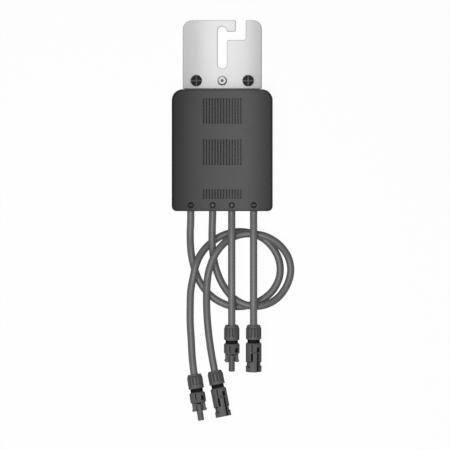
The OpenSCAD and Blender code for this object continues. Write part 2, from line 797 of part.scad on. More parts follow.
// Gland nut with a tapered end and long flutes
module nut(nut_len) {
    flute_start = 1.9;
    flute_sink = 0.34;
    flute_at = nut_r - flute_sink;
    color(conn_grey) difference() {
        rotate_extrude() polygon([
            [gland_r, 0], [nut_mouth_d / 2, 0], [nut_r, nut_taper],
            [nut_r, nut_len - nut_edge], [nut_r - nut_edge, nut_len],
            [neck_r + fit_gap, nut_len], [neck_r + fit_gap, nut_cap], [gland_r, nut_cap]
        ]);
        for (i = [0 : flute_count - 1]) rotate(i * 360 / flute_count - conn_roll)
            translate([0, flute_at, flute_start]) cylinder(d = flute_d, h = flute_len - flute_start);
    }
}

// Rubber sleeve that the nut squeezes on the cable
module gland_seal() {
    color(rubber_black) difference() {
        rod(seal_d, nut_cap, seal_end);
        rod(2 * gland_r, nut_cap - past, seal_end + past);
    }
}

// Rubber ring in the groove between the nut and the body
module neck_ring(nut_len) {
    color(rubber_black) difference() {
        rod(ring_d, nut_len, nut_len + neck_gap);
        rod(2 * (ring_bed_r + butt_gap), nut_len - past, nut_len + neck_gap + past);
    }
}

// Threaded neck and cable passage, shared by both kinds of body
module neck_cuts(contact_s, contact_d) {
    rod(seal_d + 2 * fit_gap, neck_start - past, seal_end);
    rod(2 * gland_r, neck_start - past, contact_s);
    rod(contact_d + 2 * fit_gap, contact_s - past, tube_tip + past);
}

// Wedge that slopes the panel from shallow at one end to deep at the other, with a ramp at the deep end
module panel_cut(s0, s1, low, w, ramp) {
    out = conn_r + past;
    rotate([0, -90, 0]) translate([0, 0, -w / 2]) linear_extrude(w)
        polygon([[s0, conn_r - panel_step], [s1, conn_r - low], [s1 + ramp, out], [s0, out]]);
}

// Straight cut into the side of the round body, w wide about x
module side_cut(x, w, depth, s0, s1) {
    box([w, 2 * depth, s1 - s0], [x, conn_r, s0]);
}

// Body of the tube connector: round body with side slots, two latch arms and the tube
module tube_body() {
    panel_w = 5.2;
    panel_s = tube_start + 1.6;
    panel_low = 3.4;
    slit_w = 0.9;
    slit_depth = 3.3;
    window = [2.4, 4.4];
    window_depth = 4.8;
    window_s = tube_start + 4;
    root_len = tube_groove_s - tube_front + root_lap;
    root_x = latch_span / 2 - latch_t - tube_groove_r + root_lap;
    hook_s = tube_front + latch_len - latch_hook_d / 2;
    hook_at = latch_span / 2 - latch_hook_d / 4;
    arm_x = (latch_span - latch_t) / 2;
    color(conn_grey) rotate(-conn_roll) difference() {
        union() {
            rotate_extrude() polygon([
                [0, neck_start], [neck_r, neck_start], [neck_r, tube_nut_len],
                [ring_bed_r, tube_nut_len], [ring_bed_r, tube_start],
                [conn_r - body_chamfer, tube_start], [conn_r, tube_start + body_chamfer],
                [conn_r, tube_edge_s], [conn_r - body_chamfer, tube_front],
                [tube_groove_r, tube_front], [tube_groove_r, tube_groove_s],
                [tube_collar_r, tube_groove_s], [tube_collar_r, tube_collar_s],
                [tube_r, tube_collar_s], [tube_r, tube_tip - tip_edge],
                [tube_r - tip_edge, tube_tip], [0, tube_tip]
            ]);
            for (s = [-1, 1]) {
                box([latch_t, latch_w, latch_len + past], [s * arm_x, 0, tube_front - past]);
                box([root_x + past, latch_w, root_len + past],
                    [s * (latch_span / 2 - latch_t - (root_x - past) / 2), 0, tube_front - past]);
                translate([s * hook_at, latch_w / 2, hook_s]) rotate([90, 0, 0])
                    cylinder(d = latch_hook_d, h = latch_w);
            }
        }
        neck_cuts(tube_contact_s, tube_bore_d);
        for (side = [0, 180]) rotate(side) {
            panel_cut(panel_s, tube_front + past, panel_low, panel_w, 0);
            side_cut(-(panel_w + slit_w) / 2, slit_w, slit_depth, panel_s, window_s + window[1]);
            side_cut((panel_w + window[0]) / 2, window[0], window_depth, window_s, window_s + window[1]);
        }
    }
}

// Body of the sleeve connector: slotted round body, latch notches and the end collar round the sleeve
module sleeve_body() {
    rib_w = 3.6;
    slot_cut_w = 2;
    panel_w = 4.8;
    panel_s = sleeve_start + body_chamfer;
    panel_low = 1.9;
    ramp = 1.6;
    slot_depth = 3;
    slit_w = 0.9;
    slit_depth = 3.5;
    panel_len = 9;
    step_s = sleeve_start + panel_len;
    window = [2.4, 4.8];
    window_depth = 4.6;
    notch_s = sleeve_tip - collar_len - notch_len;
    slot_web = 0.9;
    slot_s = [step_s + slot_web, notch_s - slot_web];
    guide_w = 2;
    guide_x = 3.1;
    guide_depth = 2.2;
    pocket_x = 4.6;
    pocket_w = conn_r + past - pocket_x;
    pocket_depth = 3.9;
    pocket_len = 0.9;
    arm_w = latch_w + 4 * hand_gap;
    arm_span = latch_span + 2 * hand_gap;
    color(conn_grey) rotate(-conn_roll) difference() {
        rotate_extrude() polygon([
            [0, neck_start], [neck_r, neck_start], [neck_r, sleeve_nut_len],
            [ring_bed_r, sleeve_nut_len], [ring_bed_r, sleeve_start],
            [conn_r - body_chamfer, sleeve_start], [conn_r, panel_s],
            [conn_r, sleeve_tip], [0, sleeve_tip]
        ]);
        neck_cuts(sleeve_contact_s, pin_d);
        rod(sleeve_bore_d, sleeve_floor, sleeve_tip + past);
        box([arm_span, arm_w, collar_len + notch_len + past], [0, 0, notch_s]);
        for (s = [-1, 1]) box([conn_r, conn_d + past, notch_len], [s * (notch_w + conn_r) / 2, 0, notch_s]);
        for (side = [0, 180]) rotate(side) {
            panel_cut(panel_s, step_s, panel_low, panel_w, ramp);
            side_cut(-(rib_w + slot_cut_w) / 2, slot_cut_w, slot_depth, slot_s[0], slot_s[1]);
            side_cut(-(panel_w + slit_w) / 2, slit_w, slit_depth, panel_s, step_s);
            side_cut((panel_w + window[0]) / 2, window[0], window_depth, step_s - window[1], step_s);
            side_cut(guide_x, guide_w, guide_depth, step_s + slot_web, sleeve_tip + past);
            for (x = [-1, 1], s = [notch_s - pocket_len, notch_s + notch_len])
                side_cut(x * (pocket_x + pocket_w / 2), pocket_w, pocket_depth, s, s + pocket_len);
        }
    }
}

// Socket contact inside the tube
module socket_contact() {
    recess = 1;
    color(contact_silver) difference() {
        rod(tube_bore_d, tube_contact_s, tube_tip - recess);
        rod(pin_d + 2 * fit_gap, tube_front, tube_tip);
    }
}

// Pin contact inside the sleeve
module pin_contact() {
    recess = 7;
    nose = 1;
    color(contact_silver) rotate_extrude() polygon([
        [0, sleeve_contact_s], [pin_d / 2, sleeve_contact_s], [pin_d / 2, sleeve_tip - recess - nose],
        [(pin_d - nose) / 2, sleeve_tip - recess], [0, sleeve_tip - recess]
    ]);
}

module output_minus_cable() {
    route = lead_route(0, output_minus_way, output_minus_end, output_minus_turn, 0, tube_contact_s);
    color(cable_grey) cable(route);
}

module output_plus_cable() {
    route = lead_route(1, output_plus_way, output_plus_end, output_plus_turn, 0, sleeve_contact_s);
    color(cable_grey) cable(route);
}

module input_plus_cable() {
    route = lead_route(2, input_plus_way, input_plus_end, 0, input_plus_dip, tube_contact_s);
    color(cable_grey) cable(route);
}

module input_minus_cable() {
    route = lead_route(3, input_minus_way, input_minus_end, 0, input_minus_dip, sleeve_contact_s);
    color(cable_grey) cable(route);
}

module at_output_minus() {
    lay(output_minus_end, output_minus_turn, 0) children();
}

module at_output_plus() {
    lay(output_plus_end, output_plus_turn, 0) children();
}

module at_input_plus() {
    lay(input_plus_end, 0, input_plus_dip) children();
}

module at_input_minus() {
    lay(input_minus_end, 0, input_minus_dip) children();
}

base_plate();
front_cover();
cover_seal();
cover_screws();
mounting_plate();
plate_screws();
earthing_rivet();
circuit_board();
board_screws();
inductor_core();
inductor_coil();
input_capacitors();
output_capacitors();
power_transistors();
thermal_pad();
bypass_diode();
control_chip();
wire_terminals();
cable_bushes();
output_minus_cable();
at_output_minus() nut(tube_nut_len);  // output_minus_nut
at_output_minus() gland_seal();  // output_minus_seal
at_output_minus() neck_ring(tube_nut_len);  // output_minus_ring
at_output_minus() tube_body();  // output_minus_body
at_output_minus() socket_contact();  // output_minus_contact
output_plus_cable();
at_output_plus() nut(sleeve_nut_len);  // output_plus_nut
at_output_plus() gland_seal();  // output_plus_seal
at_output_plus() neck_ring(sleeve_nut_len);  // output_plus_ring
at_output_plus() sleeve_body();  // output_plus_body
at_output_plus() pin_contact();  // output_plus_contact
input_plus_cable();
at_input_plus() nut(tube_nut_len);  // input_plus_nut
at_input_plus() gland_seal();  // input_plus_seal
at_input_plus() neck_ring(tube_nut_len);  // input_plus_ring
at_input_plus() tube_body();  // input_plus_body
at_input_plus() socket_contact();  // input_plus_contact
input_minus_cable();
at_input_minus() nut(sleeve_nut_len);  // input_minus_nut
at_input_minus() gland_seal();  // input_minus_seal
at_input_minus() neck_ring(sleeve_nut_len);  // input_minus_ring
at_input_minus() sleeve_body();  // input_minus_body
at_input_minus() pin_contact();  // input_minus_contact
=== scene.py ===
import math

import bmesh
import bpy
from mathutils import Matrix, Vector


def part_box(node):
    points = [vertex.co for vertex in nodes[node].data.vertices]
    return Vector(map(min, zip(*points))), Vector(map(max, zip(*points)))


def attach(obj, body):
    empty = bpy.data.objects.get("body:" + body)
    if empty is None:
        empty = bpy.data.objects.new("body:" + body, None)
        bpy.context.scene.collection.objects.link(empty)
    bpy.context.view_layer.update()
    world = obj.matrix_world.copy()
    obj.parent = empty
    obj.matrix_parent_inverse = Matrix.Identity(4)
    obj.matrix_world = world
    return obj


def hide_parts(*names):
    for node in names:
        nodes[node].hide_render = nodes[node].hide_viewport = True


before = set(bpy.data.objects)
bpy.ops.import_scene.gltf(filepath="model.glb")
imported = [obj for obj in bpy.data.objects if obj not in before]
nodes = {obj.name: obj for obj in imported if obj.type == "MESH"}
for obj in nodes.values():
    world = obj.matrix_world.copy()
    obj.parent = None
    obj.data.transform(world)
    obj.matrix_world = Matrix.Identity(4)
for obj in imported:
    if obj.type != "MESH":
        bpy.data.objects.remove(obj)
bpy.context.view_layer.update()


# Base plate.
# A die-cast aluminium plate with a milled back and broken edges. It closes the housing from behind, takes the
# heat of the electronics, and its tongue carries the mounting plate.
MM = 0.001


def tone(code):
    """Scene-linear colour of a six-digit colour code."""
    levels = [int(code[i:i + 2], 16) / 255 for i in (0, 2, 4)]
    return tuple(c / 12.92 if c <= 0.04045 else ((c + 0.055) / 1.055) ** 2.4 for c in levels) + (1.0,)


def surface_group(name, inputs):
    """A shader node group that puts out the colour, the roughness and the relief of a surface."""
    tree = bpy.data.node_groups.new(name, "ShaderNodeTree")
    for label, kind, value in inputs:
        tree.interface.new_socket(label, in_out="INPUT", socket_type=kind).default_value = value
    for label, kind in (("Colour", "NodeSocketColor"), ("Roughness", "NodeSocketFloat"),
                        ("Relief", "NodeSocketFloat")):
        tree.interface.new_socket(label, in_out="OUTPUT", socket_type=kind)
    return tree, tree.nodes.new("NodeGroupInput"), tree.nodes.new("NodeGroupOutput")


def spread(tree, factor, low, high):
    """Spreads a 0 to 1 factor over the range from low to high, each a number or a socket."""
    node = tree.nodes.new("ShaderNodeMapRange")
    tree.links.new(factor, node.inputs["Value"])
    for label, end in (("To Min", low), ("To Max", high)):
        if isinstance(end, (int, float)):
            node.inputs[label].default_value = end
        else:
            tree.links.new(end, node.inputs[label])
    return node.outputs["Result"]


def noise(tree, vector, scale, detail):
    """A noise texture over the given coordinates; scale is a number or a socket."""
    node = tree.nodes.new("ShaderNodeTexNoise")
    node.inputs["Detail"].default_value = detail
    tree.links.new(vector, node.inputs["Vector"])
    if isinstance(scale, (int, float)):
        node.inputs["Scale"].default_value = scale
    else:
        tree.links.new(scale, node.inputs["Scale"])
    return node.outputs["Fac"]


def toned(tree, colour, factor):
    """A colour made lighter or darker by a factor round 1."""
    node = tree.nodes.new("ShaderNodeVectorMath")
    node.operation = "SCALE"
    tree.links.new(colour, node.inputs[0])
    tree.links.new(factor, node.inputs["Scale"])
    return node.outputs[0]


drawn_metal, given, put = surface_group("drawn_metal", [
    ("Colour", "NodeSocketColor", (0.6, 0.6, 0.6, 1)),
    ("Stretch", "NodeSocketVector", (40, 1400, 1400)),
    ("Smooth", "NodeSocketFloat", 0.28),
    ("Rough", "NodeSocketFloat", 0.42),
    ("Streaks", "NodeSocketFloat", 0.06),
])
at = drawn_metal.nodes.new("ShaderNodeTexCoord").outputs["Object"]
stretched = drawn_metal.nodes.new("ShaderNodeVectorMath")
stretched.operation = "MULTIPLY"
drawn_metal.links.new(at, stretched.inputs[0])
drawn_metal.links.new(given.outputs["Stretch"], stretched.inputs[1])
streak = noise(drawn_metal, stretched.outputs[0], scale=1.0, detail=3.0)
cloud = noise(drawn_metal, at, scale=45.0, detail=2.0)
depth = drawn_metal.nodes.new("ShaderNodeMath")
depth.operation = "SUBTRACT"
depth.inputs[0].default_value = 1.0
drawn_metal.links.new(given.outputs["Streaks"], depth.inputs[1])
rise = drawn_metal.nodes.new("ShaderNodeMath")
rise.operation = "ADD"
rise.inputs[0].default_value = 1.0
drawn_metal.links.new(given.outputs["Streaks"], rise.inputs[1])
lightness = spread(drawn_metal, streak, depth.outputs[0], rise.outputs[0])
drawn_metal.links.new(toned(drawn_metal, given.outputs["Colour"], lightness), put.inputs["Colour"])
drawn_metal.links.new(spread(drawn_metal, cloud, given.outputs["Smooth"], given.outputs["Rough"]),
                      put.inputs["Roughness"])
drawn_metal.links.new(streak, put.inputs["Relief"])


def surfaced(name, group, values, relief, **shader_values):
    """A material whose colour, roughness and relief come from a surface group; relief is in millimetres."""
    material = bpy.data.materials.new(name)
    material.use_nodes = True
    tree = material.node_tree
    shader = tree.nodes["Principled BSDF"]
    for label, value in shader_values.items():
        shader.inputs[label.replace("_", " ")].default_value = value
    surface = tree.nodes.new("ShaderNodeGroup")
    surface.node_tree = group
    for label, value in values.items():
        surface.inputs[label].default_value = value
    bump = tree.nodes.new("ShaderNodeBump")
    bump.inputs["Distance"].default_value = relief * MM
    tree.links.new(surface.outputs["Relief"], bump.inputs["Height"])
    tree.links.new(surface.outputs["Colour"], shader.inputs["Base Color"])
    tree.links.new(surface.outputs["Roughness"], shader.inputs["Roughness"])
    tree.links.new(bump.outputs["Normal"], shader.inputs["Normal"])
    return material


def merged(name, weld=0.002, flat_angle=0.1):
    """A bmesh with a CAD node's shape, its loose triangles joined and its flat faces made whole."""
    shape = bmesh.new()
    shape.from_mesh(nodes[name].data)
    bmesh.ops.remove_doubles(shape, verts=shape.verts, dist=weld * MM)
    bmesh.ops.dissolve_limit(shape, angle_limit=math.radians(flat_angle),
                             verts=shape.verts, edges=shape.edges)
    return shape


def round_edges(shape, size, least_angle=30):
    """Rounds the edges that are sharper than an angle by a size in millimetres."""
    sharp = [e for e in shape.edges if e.is_manifold and e.calc_face_angle() > math.radians(least_angle)]
    bmesh.ops.bevel(shape, geom=sharp, offset=size * MM, segments=2, profile=0.5, affect="EDGES", material=-1)


def stand_for(name, shape, slot, *materials, crease_angle=40):
    """Makes a bmesh the piece that stands for a CAD node, smooth over its curves and flat on its flats."""
    for face in shape.faces:
        face.smooth = True
    for edge in shape.edges:
        edge.smooth = edge.calc_face_angle() < math.radians(crease_angle)
    mesh = bpy.data.meshes.new(name + "_piece")
    shape.to_mesh(mesh)
    shape.free()
    for material in materials:
        mesh.materials.append(material)
    piece = bpy.data.objects.new(name + "_piece", mesh)
    bpy.context.scene.collection.objects.link(piece)
    flats = piece.modifiers.new("flats", "WEIGHTED_NORMAL")
    flats.mode = "FACE_AREA"
    flats.keep_sharp = True
    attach(piece, "root")
    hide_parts(name)
    return piece


base_metal = surfaced("base_metal", drawn_metal,
                      {"Colour": tone("a9abad"), "Stretch": (1500, 60, 1500), "Smooth": 0.34, "Rough": 0.5},
                      relief=0.02, Metallic=0.8)
base_edge_r = 0.3
shape = merged("base_plate")
round_edges(shape, base_edge_r)
stand_for("base_plate", shape, "base_metal", base_metal)


# Circuit board with what stands on it, and its screws.
# A glass-fibre board under green resist, with a ferrite choke wound in copper, film capacitors, transistors
# under it on a soft pad, and tinned blocks that take the leads. Four small steel screws hold it on the base.
moulded_grain, given, put = surface_group("moulded_grain", [
    ("Colour", "NodeSocketColor", (0.07, 0.07, 0.07, 1)),
    ("Grain", "NodeSocketFloat", 2600.0),
    ("Smooth", "NodeSocketFloat", 0.42),
    ("Rough", "NodeSocketFloat", 0.58),
    ("Dark", "NodeSocketFloat", 0.9),
    ("Light", "NodeSocketFloat", 1.1),
])
at = moulded_grain.nodes.new("ShaderNodeTexCoord").outputs["Object"]
fine = noise(moulded_grain, at, scale=given.outputs["Grain"], detail=2.0)
broad = noise(moulded_grain, at, scale=70.0, detail=3.0)
lightness = spread(moulded_grain, broad, given.outputs["Dark"], given.outputs["Light"])
moulded_grain.links.new(toned(moulded_grain, given.outputs["Colour"], lightness), put.inputs["Colour"])
moulded_grain.links.new(spread(moulded_grain, broad, given.outputs["Rough"], given.outputs["Smooth"]),
                        put.inputs["Roughness"])
moulded_grain.links.new(fine, put.inputs["Relief"])


def dress(material, *names):
    """Gives CAD nodes a material."""
    for name in names:
        nodes[name].data.materials.clear()
        nodes[name].data.materials.append(material)


dress(surfaced("solder_resist", moulded_grain, {"Colour": tone("2f5d43"), "Grain": 900.0, "Smooth": 0.3},
               relief=0.02), "circuit_board")
dress(surfaced("sintered_ferrite", moulded_grain, {"Colour": tone("2b2b2d"), "Grain": 3500.0, "Rough": 0.7},
               relief=0.04), "inductor_core")
dress(surfaced("enamelled_copper", drawn_metal, {"Colour": tone("b87333"), "Stretch": (1, 1, 4000)},
               relief=0.1, Metallic=1.0), "inductor_coil")
dress(surfaced("film_case", moulded_grain, {"Colour": tone("4d6f9c"), "Smooth": 0.3}, relief=0.02),
      "input_capacitors", "output_capacitors")
dress(surfaced("chip_resin", moulded_grain, {"Colour": tone("1f1f21"), "Grain": 4200.0}, relief=0.02),
      "power_transistors", "bypass_diode", "control_chip")
dress(surfaced("soft_pad", moulded_grain, {"Colour": tone("9aa0a6"), "Grain": 1200.0, "Rough": 0.8},
               relief=0.06), "thermal_pad")
zinc_steel = surfaced("zinc_steel", drawn_metal, {"Colour": tone("a9abad"), "Stretch": (300, 300, 300)},
                      relief=0.01, Metallic=1.0)
tinned = surfaced("tinned", drawn_metal, {"Colour": tone("c9c4b8"), "Stretch": (500, 500, 500)},
                  relief=0.01, Metallic=1.0)
dress(zinc_steel, "board_screws")
dress(tinned, "wire_terminals")


# Seal ring and cable bushes.
# Black rubber: a ring in a groove of the base that the cover's wall presses on, and four flanged bushes
# that seal the leads where they pass the cover's lower wall.
rubber = surfaced("rubber", moulded_grain, {"Colour": tone("181818"), "Grain": 3000.0, "Smooth": 0.6,
                                            "Rough": 0.8}, relief=0.03, Specular_IOR_Level=0.02)
dress(rubber, "cover_seal", "cable_bushes")


# Cover.
# Moulded in dark grey plastic with a fine spark-eroded grain, gently crowned, with three fields of grooves.
# Over each lead a sunk disc is filled with black ink, and its polarity sign stands clear with a rubbed top.
# Four zinc-plated screws from the back hold it on the base.
crown_r = 850.8
disc_y = -55
disc_reach = 3.3
disc_depth = 2
ink_depth = 0.2
groove_reach = 20
groove_reach_y = 53
groove_depth = 3
cover_plastic = surfaced("cover_plastic", moulded_grain, {"Colour": tone("4c4c4c"), "Grain": 2400.0,
                                                          "Dark": 0.95, "Light": 1.05}, relief=0.04,
                         Specular_IOR_Level=0.15)
groove_plastic = surfaced("groove_plastic", moulded_grain, {"Colour": tone("4e4e4e"), "Grain": 1600.0,
                                                            "Smooth": 0.6, "Rough": 0.75}, relief=0.06,
                          Specular_IOR_Level=0.1)
disc_ink = surfaced("disc_ink", moulded_grain, {"Colour": tone("1c1c1c"), "Grain": 2000.0}, relief=0.02,
                    Specular_IOR_Level=0.1)
rubbed_plastic = surfaced("rubbed_plastic", moulded_grain, {"Colour": tone("646464"), "Grain": 2400.0},
                          relief=0.02, Specular_IOR_Level=0.15)
cover_finishes = [cover_plastic, disc_ink, groove_plastic, rubbed_plastic]
shape = merged("front_cover")
crown_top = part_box("front_cover")[1][2] / MM
lead_x = {"output_minus": -31.45, "output_plus": -9.55, "input_plus": 9.55, "input_minus": 31.45}
for face in shape.faces:
    middle = face.calc_center_median() / MM
    below = crown_top - middle.x ** 2 / (2 * crown_r) - middle.z
    beside = min(math.hypot(middle.x - x, middle.y - disc_y) for x in lead_x.values())
    if beside < disc_reach and abs(below) < ink_depth:
        face.material_index = cover_finishes.index(rubbed_plastic)
    elif beside < disc_reach and ink_depth < below < disc_depth:
        face.material_index = cover_finishes.index(disc_ink)
    elif abs(middle.x) < groove_reach and abs(middle.y) < groove_reach_y and ink_depth < below < groove_depth:
        face.material_index = cover_finishes.index(groove_plastic)
cover = stand_for("front_cover", shape, "cover_plastic", *cover_finishes)
dress(zinc_steel, "cover_screws")


# Mounting plate.
# Punched from bright 2 mm sheet metal with a satin finish, with a hooked slot that slips over a rail bolt.
# It lies on the base's tongue. Its punched edges are rougher than its faces, and their darker tone is painted
# shade.
plate_edge_r = 0.7
plate_face_slope = 0.98
plate_metal = surfaced("plate_metal", drawn_metal, {"Colour": tone("dedede"), "Stretch": (1400, 50, 1400),
                                                    "Streaks": 0.03}, relief=0.01, Metallic=0.25)
punched_and_shaded_edge = surfaced("punched_and_shaded_edge", drawn_metal, {"Colour": tone("b8b8b8"), "Stretch": (600, 600, 60),
                                                      "Smooth": 0.6, "Rough": 0.75}, relief=0.02,
                        Specular_IOR_Level=0.1)
plate_finish_and_shade = [plate_metal, punched_and_shaded_edge]
shape = merged("mounting_plate")
round_edges(shape, plate_edge_r)
# The faces off the flat, the rounded edges, get the rougher edge finish, whose darker tone is painted shade.
for face in shape.faces:
    if abs(face.normal.z) < plate_face_slope:
        face.material_index = plate_finish_and_shade.index(punched_and_shaded_edge)
plate = stand_for("mounting_plate", shape, "plate_metal", *plate_finish_and_shade)


# Plate screws and earthing rivet.
# Two black-coated pan-head screws with a cross slot, and a bright blind rivet between them that earths the
# plate to the base. The floors of the screws' slots are painted lighter as a highlight, and the rivet's rim
# is painted darker as shade.
head_edge_r = 0.12
slot_floor_slope = 0.95
slot_floor_depth = (0.7, 1.4)
black_steel = surfaced("black_steel", moulded_grain, {"Colour": tone("2a2a2a"), "Grain": 1800.0,
                                                      "Smooth": 0.4, "Rough": 0.55}, relief=0.02,
                       Specular_IOR_Level=0.12)
slot_highlight_steel = surfaced("slot_highlight_steel", drawn_metal, {"Colour": tone("5c5c5c"), "Stretch": (900, 900, 900)},
                      relief=0.02, Metallic=0.2)
screw_finish_and_highlight = [black_steel, slot_highlight_steel]
shape = merged("plate_screws")
round_edges(shape, head_edge_r)
head_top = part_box("plate_screws")[1][2]
# The floors of the cross slot get a lighter tone as a painted highlight.
for face in shape.faces:
    below = (head_top - face.calc_center_median().z) / MM
    if face.normal.z > slot_floor_slope and slot_floor_depth[0] < below < slot_floor_depth[1]:
        face.material_index = screw_finish_and_highlight.index(slot_highlight_steel)
screws = stand_for("plate_screws", shape, "black_screw", *screw_finish_and_highlight)
rivet_hole_r = 1.6
rivet_hole_depth = 0.2
rivet_slope = 0.9
# The rivet's sloped rim gets a darker tone than its top as painted shade.
rivet_rim_shade = surfaced("rivet_rim_shade", drawn_metal, {"Colour": tone("8c8c8c"), "Stretch": (700, 700, 700),
                                                      "Smooth": 0.6, "Rough": 0.75}, relief=0.02,
                        Specular_IOR_Level=0.05)
mandrel_steel = surfaced("mandrel_steel", drawn_metal, {"Colour": tone("6a6a6a"), "Stretch": (700, 700, 700),
                                                        "Rough": 0.6}, relief=0.02)
rivet_finish_and_shade = [plate_metal, rivet_rim_shade, mandrel_steel]
shape = merged("earthing_rivet")
round_edges(shape, head_edge_r)
rivet_low, rivet_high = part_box("earthing_rivet")
rivet_x, rivet_y = [(rivet_low[i] + rivet_high[i]) / 2 for i in (0, 1)]
for face in shape.faces:
    middle = face.calc_center_median()
    beside = math.hypot(middle.x - rivet_x, middle.y - rivet_y)
    if beside < rivet_hole_r * MM and middle.z < rivet_high[2] - rivet_hole_depth * MM:
        face.material_index = rivet_finish_and_shade.index(mandrel_steel)
    elif face.normal.z < rivet_slope:
        face.material_index = rivet_finish_and_shade.index(rivet_rim_shade)
rivet = stand_for("earthing_rivet", shape, "plate_metal", *rivet_finish_and_shade)


# Connectors.
# Moulded in a grey glass-filled plastic: a fluted gland nut squeezes a rubber sleeve on the cable, and the
# body holds the tinned contact, either in a tube with two latch arms or as a pin deep in a sleeve. Places
# along a connector are measured from the back of its nut.
connector_ends = {"output_minus": (-28, -224, 8.15), "output_plus": (-7.6, -220.5, 8.15),
                  "input_plus": (9.55, -175, 12.857), "input_minus": (31.45, -175, 15.358)}
connector_turn = {"output_minus": 8.6, "output_plus": 11.2, "input_plus": 0, "input_minus": 0}
connector_dip = {"output_minus": 0, "output_plus": 0, "input_plus": 10, "input_minus": 9}
connector_roll = 9
moulded_edge_r = 0.15
flute_start = 1.95
flute_floor_r = 7.5
flute_end = 11
body_skin_r = 7.4
cut_out_x = 1.7
cut_outs = {"tube": [(19.7, 26.7)], "sleeve": [(18.8, 37.05), (41.15, 46.5)]}
tube_groove = (28.95, 30.35)
tube_groove_r = 2.9
connector_plastic = surfaced("connector_plastic", moulded_grain, {"Colour": tone("4c4c4c"), "Grain": 2800.0,
                                                                  "Smooth": 0.55, "Rough": 0.7}, relief=0.03,
                             Specular_IOR_Level=0.4)
flute_plastic = surfaced("flute_plastic", moulded_grain, {"Colour": tone("4a4a4a"), "Grain": 2000.0,
                                                          "Smooth": 0.6, "Rough": 0.75}, relief=0.04,
                         Specular_IOR_Level=0.01)
# The body's windows, slits and the groove at the tube's root are painted near black as their shade.
cut_out_shade = surfaced("cut_out_shade", moulded_grain, {"Colour": tone("1a1a1a"), "Grain": 1600.0,
                                                              "Smooth": 0.6, "Rough": 0.75}, relief=0.04,
                           Specular_IOR_Level=0.01)
nut_finishes = [connector_plastic, flute_plastic]
body_finish_and_shade = [connector_plastic, cut_out_shade]
connectors = {}
for lead, end in connector_ends.items():
    kind = "tube" if lead in ("output_minus", "input_plus") else "sleeve"
    turn, tilt = math.radians(connector_turn[lead]), math.radians(connector_dip[lead] + 90)
    roll = math.radians(-connector_roll)
    placed = (Matrix.Translation(Vector(end) * MM) @ Matrix.Rotation(turn, 4, "Z")
              @ Matrix.Rotation(tilt, 4, "X") @ Matrix.Rotation(roll, 4, "Z"))
    to_own = placed.inverted()
    shape = merged(lead + "_nut")
    round_edges(shape, moulded_edge_r)
    for face in shape.faces:
        middle = to_own @ face.calc_center_median() / MM
        if math.hypot(middle.x, middle.y) < flute_floor_r and flute_start < middle.z < flute_end:
            face.material_index = nut_finishes.index(flute_plastic)
    nut = stand_for(lead + "_nut", shape, "connector_plastic", *nut_finishes)
    shape = merged(lead + "_body")
    round_edges(shape, moulded_edge_r)
    for face in shape.faces:
        middle = to_own @ face.calc_center_median() / MM
        beside = math.hypot(middle.x, middle.y)
        # Faces sunk in a window or slit, and the tube kind's root groove, take the painted shade.
        sunk = beside < body_skin_r and abs(middle.x) > cut_out_x
        in_cut_out = sunk and any(low < middle.z < high for low, high in cut_outs[kind])
        in_groove = beside < tube_groove_r and tube_groove[0] < middle.z < tube_groove[1]
        if in_cut_out or kind == "tube" and in_groove:
            face.material_index = body_finish_and_shade.index(cut_out_shade)
    body = stand_for(lead + "_body", shape, "connector_plastic", *body_finish_and_shade)
    dress(rubber, lead + "_seal", lead + "_ring")
    dress(tinned, lead + "_contact")
    connectors[lead] = [nut, body] + [nodes[lead + piece] for piece in ("_seal", "_ring", "_contact")]


# Leads.
# Four single-core solar cables with a round grey jacket, 7.4 mm thick. The two long ones make one loose turn
# each and cross, the two short ones lie straight over them. Each ends in the contact of its connector. The
# stops of a route are measured from the middle of the cover's lower wall.
cable_d = 7.4
lead_end_y = -61
lead_exit_z = 14.9
lead_inside = 8
lead_out = -2
lead_ways = {
    "output_minus": [
        (-31.6, -13, 13.4), (-32, -25, 10.8), (-31, -42, 6), (-27.5, -58, 4.1), (-22.5, -70.5, 3.9),
        (-14.5, -81.5, 3.8), (-3.5, -90, 3.8), (10, -95, 3.8), (25, -94.5, 3.8), (39, -89, 3.8),
        (50.2, -79.7, 3.8), (57, -66.5, 3.8), (57.5, -52, 3.8), (52, -38.5, 3.8), (42, -28, 3.8),
        (29, -22, 3.8), (15, -20.5, 3.8), (1, -24, 3.9), (-10.5, -31, 4.3), (-20, -41, 7.8),
        (-26, -53, 11.7), (-29, -66, 12), (-31.5, -80, 9.7), (-32, -96, 7), (-32, -112, 5.1),
        (-31, -128.5, 5.1), (-30, -146, 6.6),
    ],
    "output_plus": [
        (-10, -17, 14), (-10, -32, 12.4), (-8.5, -47, 8.4), (-5, -61, 7), (1.5, -75, 7.5), (11.5, -87, 10),
        (25, -94, 11.4), (40, -94.5, 10.2), (54, -88, 6.6), (64, -75.5, 4.3), (68.5, -60.5, 4),
        (66, -46, 5.4), (57.5, -34, 9.1), (45.5, -26, 11.3), (32, -22.8, 11.4), (18.5, -23.5, 11.5),
        (6.5, -28.5, 12.8), (-3, -37.5, 16.1), (-9.5, -48.5, 16.9), (-14, -63, 15), (-15.5, -80, 11.8),
        (-15.5, -97, 8), (-14.5, -113, 5.4), (-12.8, -128.5, 5), (-10.5, -144, 6.6),
    ],
    "input_plus": [
        (9.5, -7, 15.5), (9.5, -13, 17.1), (9.5, -19, 18.8), (9.5, -26, 20), (9.5, -42, 20.5),
        (9.5, -57, 20), (9.5, -72, 19), (9.5, -85, 17.7), (9.5, -99, 15.3),
    ],
    "input_minus": [
        (31.4, -6.5, 15.4), (31.4, -12, 16.8), (31.4, -17.5, 18.3), (31.4, -24, 19.3), (31.4, -40, 20),
        (31.4, -58, 20.4), (31.4, -76, 20.2), (31.4, -94, 19), (31.4, -104, 17.2),
    ],
}
contact_reach = {"output_minus": 20.18, "output_plus": 20.48, "input_plus": 20.18, "input_minus": 20.48}
